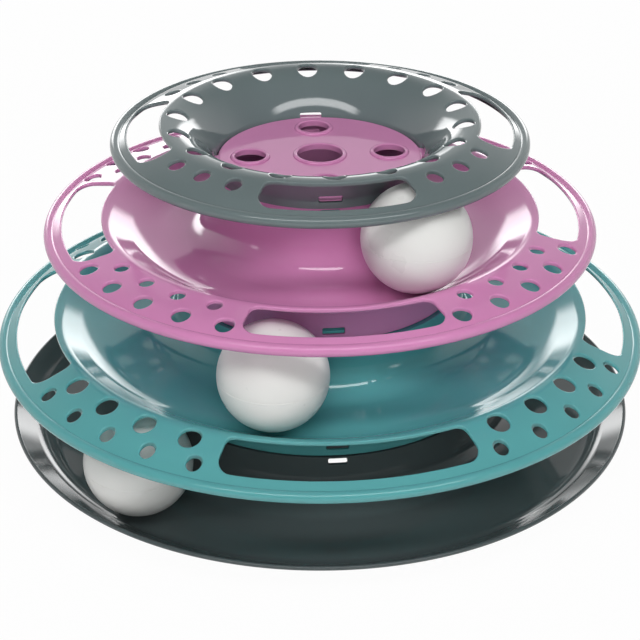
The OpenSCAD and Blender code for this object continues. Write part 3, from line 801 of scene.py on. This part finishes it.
def middle_track():
    lip_r, crest_r, crest_z = MID_LIP_R, MID_CREST_R, MID_FLOOR + MID_RAMP[1]
    lip_z = crest_z - MID_LIP_DROP
    path = hub_path(0, MID_HUB_R, DISC, MID_SHOULDER_R, TOP_SKIRT_Z, MID_FOOT_R, MID_FLOOR)
    path += [np.array([MID_RAMP_R, MID_FLOOR])]
    path += flange_path((crest_r, crest_z), MID_BEND, lip_r, lip_z)
    openings = (
        slot_openings(crest_r + MID_SLOT_INSET, lip_r - MID_SLOT_MARGIN, MID_SLOT_HALF_ANGLE)
        + group_openings(lip_r - MID_OUTER_ROW_IN, MID_OUTER_HOLE_D, MID_OUTER_COUNT, MID_OUTER_PITCH)
        + group_openings(crest_r + MID_INNER_ROW_OUT, MID_INNER_HOLE_D, MID_INNER_COUNT, MID_INNER_PITCH))
    s = Surface()
    upper, under = both_sides(path, TRACK_RADII)
    disc_r = MID_HUB_R - HUB_EDGE_ROUND - DISC_INSET
    add_disc(s, disc_r)
    upper[0] = cut(upper[0], 0, disc_r)[1]
    rest, under_rest = add_hub_wall(s, upper, under, TOP_SKIRT_Z)
    add_flange(s, rest, under_rest, upper[2], crest_r + MID_PIERCE_OUT, lip_r, lip_z, openings)
    add_skirt(s, MID_SKIRT_R, MID_SKIRT_Z, MID_FLOOR)
    add_tabs(s, MID_HUB_R, DISC, TOP_SKIRT_Z)
    return s


def top_ring():
    lip_r, crest_r, crest_z = TOP_LIP_R, TOP_CREST_R, DISC + TOP_RAMP[1]
    lip_z = crest_z - TOP_LIP_DROP
    path = as_path((TOP_SKIRT_R, TOP_SKIRT_Z), (TOP_SKIRT_R, DISC),
                   (TOP_SKIRT_R + TOP_LEAN[0], DISC + TOP_LEAN[1]))
    crest = crest_r + TOP_CREST_SHIFT[0], crest_z + TOP_CREST_SHIFT[1]
    path += flange_path(crest, TOP_BEND, lip_r, lip_z)
    radii = [0, FLARE_ROUND, TOP_LEAN_ROUND, TOP_CREST_ROUND, TOP_BEND_ROUND, 0, 0]
    openings = (
        slot_openings(crest_r + TOP_SLOT_INSET, lip_r - TOP_SLOT_MARGIN, TOP_SLOT_HALF_ANGLE)
        + group_openings(crest_r + TOP_OUTER_ROW_OUT, TOP_OUTER_HOLE_D, TOP_OUTER_COUNT, TOP_OUTER_PITCH)
        + ring_openings(crest_r + TOP_INNER_ROW_OUT, TOP_INNER_HOLE_D, TOP_INNER_COUNT))
    s = Surface()
    upper, under = both_sides(path, radii)
    z_low, z_high = TOP_SKIRT_Z + WINDOW_MARGIN, TOP_SKIRT_Z + WINDOW_UP + WINDOW_H + WINDOW_MARGIN
    low, rest = cut(upper[0], 1, z_low)
    middle, rest = cut(rest, 1, z_high)
    under_low, under_rest = cut(under[0], 1, z_low)
    under_middle, under_rest = cut(under_rest, 1, z_high)
    s.revolve(low)
    s.revolve(under_low)
    s.revolve(np.array([(TOP_SKIRT_R, TOP_SKIRT_Z, 0, -1), (TOP_SKIRT_R + WALL, TOP_SKIRT_Z, 0, -1)], float))
    r0 = TOP_SKIRT_R
    pierced_wall(s, r0, middle, under_middle, z_low, z_high,
                 window_openings(r0, WINDOW_W, TOP_SKIRT_Z + WINDOW_UP, WINDOW_H))
    add_flange(s, rest, under_rest, upper[1], crest_r - TOP_PIERCE_IN, lip_r, lip_z, openings)
    return s


# Balls

def ball_half(side, orbit_r, azimuth, floor_z):
    """One welded half shell, with a fine groove where it meets the other."""
    s = Surface(BALL_STEPS)
    rim = math.asin(SEAM_CHAMFER / BALL_R)
    angles = np.linspace(POLE, rim, POLE_STEPS)
    outer = np.array([(BALL_R * math.cos(a), side * BALL_R * math.sin(a), math.cos(a), side * math.sin(a))
                      for a in angles])
    inner_r = BALL_R - BALL_WALL
    inner = np.array([(inner_r * math.cos(a), side * inner_r * math.sin(a), -math.cos(a), -side * math.sin(a))
                      for a in np.linspace(POLE, 0, INNER_STEPS)])
    edge = BALL_R - SEAM_CHAMFER
    n = unit(np.array([1.0, -side]))
    groove = np.array([(outer[-1][0], outer[-1][1], *n), (edge, 0, *n)])
    joint = np.array([(edge, 0, 0, -side), (inner_r, 0, 0, -side)], float)
    for run in (outer, groove, joint, inner):
        s.revolve(run)
    x, y = orbit_r * direction(math.radians(azimuth))
    shift = np.array([x, y, floor_z + BALL_GAP + BALL_R])
    s.points = [p + shift for p in s.points]
    return s


# Materials

# Noise patterns, as scale and detail: flow marks in the colour, polish, and the uneven skin
FLOW, POLISH, SKIN = (14, 3), (55, 4), (900, 2)
NOISE_LOW, NOISE_HIGH = 0.3, 0.7
POLISH_LOW_SHARE, POLISH_HIGH_SHARE = 0.85, 1.2
SKIN_STRENGTH = 0.3
PLASTIC_IOR = 1.5


def linear(rgb):
    """Scene colour of an sRGB colour written 0 to 255."""
    return [c / 255 / 12.92 if c / 255 <= 0.04045 else ((c / 255 + 0.055) / 1.055) ** 2.4 for c in rgb]


class Nodes:
    def __init__(self, material):
        material.use_nodes = True
        self.tree = material.node_tree
        self.shader = self.tree.nodes["Principled BSDF"]

    def new(self, kind, **values):
        node = self.tree.nodes.new(kind)
        for key, value in values.items():
            setattr(node, key, value)
        return node

    def link(self, a, b):
        self.tree.links.new(a, b)

    def noise(self, scale, detail, coordinates):
        node = self.new("ShaderNodeTexNoise")
        node.inputs["Scale"].default_value = scale
        node.inputs["Detail"].default_value = detail
        self.link(coordinates, node.inputs["Vector"])
        return node

    def spread(self, value, low, high):
        """A noise value, spread between two limits."""
        node = self.new("ShaderNodeMapRange")
        node.inputs["From Min"].default_value = NOISE_LOW
        node.inputs["From Max"].default_value = NOISE_HIGH
        node.inputs["To Min"].default_value = low
        node.inputs["To Max"].default_value = high
        self.link(value, node.inputs["Value"])
        return node.outputs["Result"]


def plastic(name, rgb, rough, variation=0.04, grain=0.01 * MM):
    """Moulded plastic: slight flow marks in its colour, polish that varies, and an uneven skin whose depth is
    grain."""
    material = bpy.data.materials.new(name)
    n = Nodes(material)
    place = n.new("ShaderNodeTexCoord").outputs["Object"]
    flow = n.noise(*FLOW, place)
    mix = n.new("ShaderNodeMix", data_type="RGBA")
    base = linear(rgb)
    mix.inputs["A"].default_value = [c * (1 - variation) for c in base] + [1]
    mix.inputs["B"].default_value = [c * (1 + variation) for c in base] + [1]
    n.link(n.spread(flow.outputs["Fac"], 0, 1), mix.inputs["Factor"])
    n.link(mix.outputs["Result"], n.shader.inputs["Base Color"])
    polish = n.noise(*POLISH, place)
    shine = n.spread(polish.outputs["Fac"], rough * POLISH_LOW_SHARE, rough * POLISH_HIGH_SHARE)
    n.link(shine, n.shader.inputs["Roughness"])
    skin = n.noise(*SKIN, place)
    bump = n.new("ShaderNodeBump")
    bump.inputs["Strength"].default_value = SKIN_STRENGTH
    bump.inputs["Distance"].default_value = grain
    n.link(skin.outputs["Fac"], bump.inputs["Height"])
    n.link(bump.outputs["Normal"], n.shader.inputs["Normal"])
    n.shader.inputs["IOR"].default_value = PLASTIC_IOR
    return material


GREY = plastic("grey_plastic", (105, 118, 119), 0.06)
PINK = plastic("pink_plastic", (212, 137, 186), 0.06)
TEAL = plastic("teal_plastic", (90, 166, 168), 0.06)
DARK = plastic("base_plastic", (78, 87, 88), 0.08)
WHITE = plastic("ball_plastic", (232, 232, 229), 0.3, variation=0.01)
RUBBER = plastic("foot_rubber", (30, 30, 32), 0.7, grain=0.04 * MM)

base_tray().piece("base_tray_looks", DARK, "base_plastic", "tower", "base_tray")
lower_track().piece("lower_track_looks", TEAL, "teal_plastic", "tower", "lower_track")
middle_track().piece("middle_track_looks", PINK, "pink_plastic", "tower", "middle_track")
top_ring().piece("top_ring_looks", GREY, "grey_plastic", "tower", "top_ring")

for body, orbit_r, azimuth, floor_z in (("base_ball", BASE_ORBIT_R, BASE_BALL_ANGLE, BASE_FLOOR),
                                        ("lower_ball", LOW_ORBIT_R, LOW_BALL_ANGLE, LOW_FLOOR),
                                        ("middle_ball", MID_ORBIT_R, MID_BALL_ANGLE, MID_FLOOR)):
    for side, half in ((-1, "bottom_half"), (1, "top_half")):
        node = f"{body}_{half}"
        ball_half(side, orbit_r, azimuth, floor_z).piece(node + "_looks", WHITE, "ball_plastic", body, node)

for name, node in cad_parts.items():
    if name.startswith("foot"):
        node.data.materials.clear()
        node.data.materials.append(RUBBER)


# Studio

BACKGROUND_RAYS = "Is Camera Ray", "Is Glossy Ray", "Is Transmission Ray"

# Strengths of the world as a light and as a dim room in reflections, and the glowing share of the floor for
# background rays
SKY_LIGHT = 0.05
ROOM_SHARE = 0.2
FLOOR_GLOW = 0.97

# Half the floor's side in metres, and its grey
FLOOR_HALF = 4.0
FLOOR_PAINT = 0.8

# Parts of a ray's direction, backwards and upwards, between which the reflected backdrop fades
BACKWARDS_FADE = -0.35, 0.35
UPWARDS_FADE = 0.2, 0.95


def fade(tree, value, start, end, low, high):
    """A value that goes smoothly from low to high while another goes from start to end."""
    node = tree.nodes.new("ShaderNodeMapRange")
    node.interpolation_type = "SMOOTHSTEP"
    for name, number in (("From Min", start), ("From Max", end), ("To Min", low), ("To Max", high)):
        node.inputs[name].default_value = number
    tree.links.new(value, node.inputs["Value"])
    return node.outputs["Result"]


def combine(tree, operation, first, second):
    node = tree.nodes.new("ShaderNodeMath")
    node.operation = operation
    tree.links.new(first, node.inputs[0])
    tree.links.new(second, node.inputs[1])
    return node.outputs[0]


def light_path_any(tree, *names):
    """1 for rays of any of the named kinds."""
    path = tree.nodes.new("ShaderNodeLightPath")
    value = path.outputs[names[0]]
    for name in names[1:]:
        value = combine(tree, "MAXIMUM", value, path.outputs[name])
    return value


def make_world():
    world = bpy.data.worlds.new("studio")
    bpy.context.scene.world = world
    world.use_nodes = True
    tree = world.node_tree
    soft = tree.nodes["Background"]
    soft.inputs["Color"].default_value = (1, 1, 1, 1)
    soft.inputs["Strength"].default_value = SKY_LIGHT
    # the camera sees white all round, and reflections see it behind and beside the object, and a dim room
    # elsewhere
    white = tree.nodes.new("ShaderNodeBackground")
    white.inputs["Color"].default_value = (1, 1, 1, 1)
    place = tree.nodes.new("ShaderNodeTexCoord")
    parts = tree.nodes.new("ShaderNodeSeparateXYZ")
    tree.links.new(place.outputs["Generated"], parts.inputs[0])
    backdrop = combine(tree, "MULTIPLY", fade(tree, parts.outputs["Y"], *BACKWARDS_FADE, 0, 1),
                       fade(tree, parts.outputs["Z"], *UPWARDS_FADE, 1, 0))
    reflected = fade(tree, backdrop, 0, 1, ROOM_SHARE, 1)
    strength = combine(tree, "MAXIMUM", reflected, light_path_any(tree, "Is Camera Ray"))
    tree.links.new(strength, white.inputs["Strength"])
    mix = tree.nodes.new("ShaderNodeMixShader")
    tree.links.new(light_path_any(tree, *BACKGROUND_RAYS), mix.inputs["Fac"])
    tree.links.new(soft.outputs[0], mix.inputs[1])
    tree.links.new(white.outputs[0], mix.inputs[2])
    tree.links.new(mix.outputs[0], tree.nodes["World Output"].inputs["Surface"])


def make_floor():
    corners = [(x * FLOOR_HALF, y * FLOOR_HALF, 0) for x, y in ((-1, -1), (1, -1), (1, 1), (-1, 1))]
    mesh = bpy.data.meshes.new("floor")
    mesh.from_pydata(corners, [], [(0, 1, 2, 3)])
    floor = bpy.data.objects.new("floor", mesh)
    bpy.context.scene.collection.objects.link(floor)
    material = bpy.data.materials.new("pale_floor")
    material.use_nodes = True
    tree = material.node_tree
    tree.nodes.remove(tree.nodes["Principled BSDF"])
    paint = tree.nodes.new("ShaderNodeBsdfDiffuse")
    paint.inputs["Color"].default_value = (FLOOR_PAINT, FLOOR_PAINT, FLOOR_PAINT, 1)
    glow = tree.nodes.new("ShaderNodeEmission")
    share = tree.nodes.new("ShaderNodeMath")
    share.operation = "MULTIPLY"
    share.inputs[1].default_value = FLOOR_GLOW
    tree.links.new(light_path_any(tree, *BACKGROUND_RAYS), share.inputs[0])
    mix = tree.nodes.new("ShaderNodeMixShader")
    tree.links.new(share.outputs[0], mix.inputs["Fac"])
    tree.links.new(paint.outputs[0], mix.inputs[1])
    tree.links.new(glow.outputs[0], mix.inputs[2])
    tree.links.new(mix.outputs[0], tree.nodes["Material Output"].inputs["Surface"])
    mesh.materials.append(material)


TARGET = Vector((0, 0, 42.57 * MM))


def from_target(azimuth, elevation, distance):
    """The place at an azimuth, in degrees from -Y towards +X, and an elevation, seen from the target."""
    a, e = math.radians(azimuth), math.radians(elevation)
    return TARGET + distance * Vector((math.sin(a) * math.cos(e), -math.cos(a) * math.cos(e), math.sin(e)))


def softbox(name, azimuth, elevation, distance, width, height, radiance, edge=0.0, reflected=True):
    """A lamp that faces the object, with its place in degrees and metres. edge is the share of its half width
    and height over which it fades. A lamp that isn't reflected stands for light from all over the room on
    that side."""
    light = bpy.data.lights.new(name, "AREA")
    light.shape = "RECTANGLE"
    light.size, light.size_y = width, height
    light.energy = radiance * math.pi * width * height
    lamp = bpy.data.objects.new(name, light)
    bpy.context.scene.collection.objects.link(lamp)
    lamp.location = from_target(azimuth, elevation, distance)
    turn = (TARGET - lamp.location).to_track_quat("-Z", "Y")
    lamp.rotation_mode = "QUATERNION"
    lamp.rotation_quaternion = turn
    lamp.visible_glossy = reflected
    if not edge:
        return
    light.use_nodes = True
    tree = light.node_tree
    offset = tree.nodes.new("ShaderNodeVectorMath")
    offset.operation = "SUBTRACT"
    offset.inputs[1].default_value = lamp.location
    tree.links.new(tree.nodes.new("ShaderNodeNewGeometry").outputs["Position"], offset.inputs[0])
    fades = []
    for axis, half in (((1, 0, 0), width / 2), ((0, 1, 0), height / 2)):
        along = tree.nodes.new("ShaderNodeVectorMath")
        along.operation = "DOT_PRODUCT"
        along.inputs[1].default_value = turn @ Vector(axis)
        tree.links.new(offset.outputs[0], along.inputs[0])
        size = tree.nodes.new("ShaderNodeMath")
        size.operation = "ABSOLUTE"
        tree.links.new(along.outputs["Value"], size.inputs[0])
        fades.append(fade(tree, size.outputs[0], half * (1 - edge), half, 1, 0))
    tree.links.new(combine(tree, "MULTIPLY", *fades), tree.nodes["Emission"].inputs["Strength"])


make_world()
make_floor()
softbox("key", 0, 55, 1.3, 2.2, 0.22, 8.4, edge=0.35)
softbox("top_room", 0, 75, 1.3, 0.8, 0.8, 1.8, reflected=False)
softbox("front_room", -8, 24, 1.6, 1.3, 0.8, 2.3, reflected=False)
softbox("back_room", 180, 9, 1.3, 1.6, 0.46, 3.5, reflected=False)
softbox("panel_right", 161, 12, 1.3, 0.75, 0.46, 4.5, edge=0.5)
softbox("panel_left", -167, 13, 1.3, 0.75, 0.46, 4.5, edge=0.5)
softbox("strip_left", -75, 8, 1.2, 0.3, 0.3, 3, edge=0.8)
softbox("strip_right", 50, 12, 1.2, 0.25, 0.25, 3, edge=0.8)

CAMERA_AZIMUTH, CAMERA_ELEVATION, CAMERA_DISTANCE = -5.4, 28.25, 702.4 * MM
# Both in millimetres
LENS, SENSOR_WIDTH = 100.4, 36
camera_data = bpy.data.cameras.new("camera")
camera_data.lens = LENS
camera_data.sensor_width = SENSOR_WIDTH
camera = bpy.data.objects.new("camera", camera_data)
bpy.context.scene.collection.objects.link(camera)
camera.location = from_target(CAMERA_AZIMUTH, CAMERA_ELEVATION, CAMERA_DISTANCE)
camera.rotation_mode = "QUATERNION"
camera.rotation_quaternion = (TARGET - camera.location).to_track_quat("-Z", "Y")
bpy.context.scene.camera = camera
bpy.context.scene.view_settings.view_transform = "Standard"
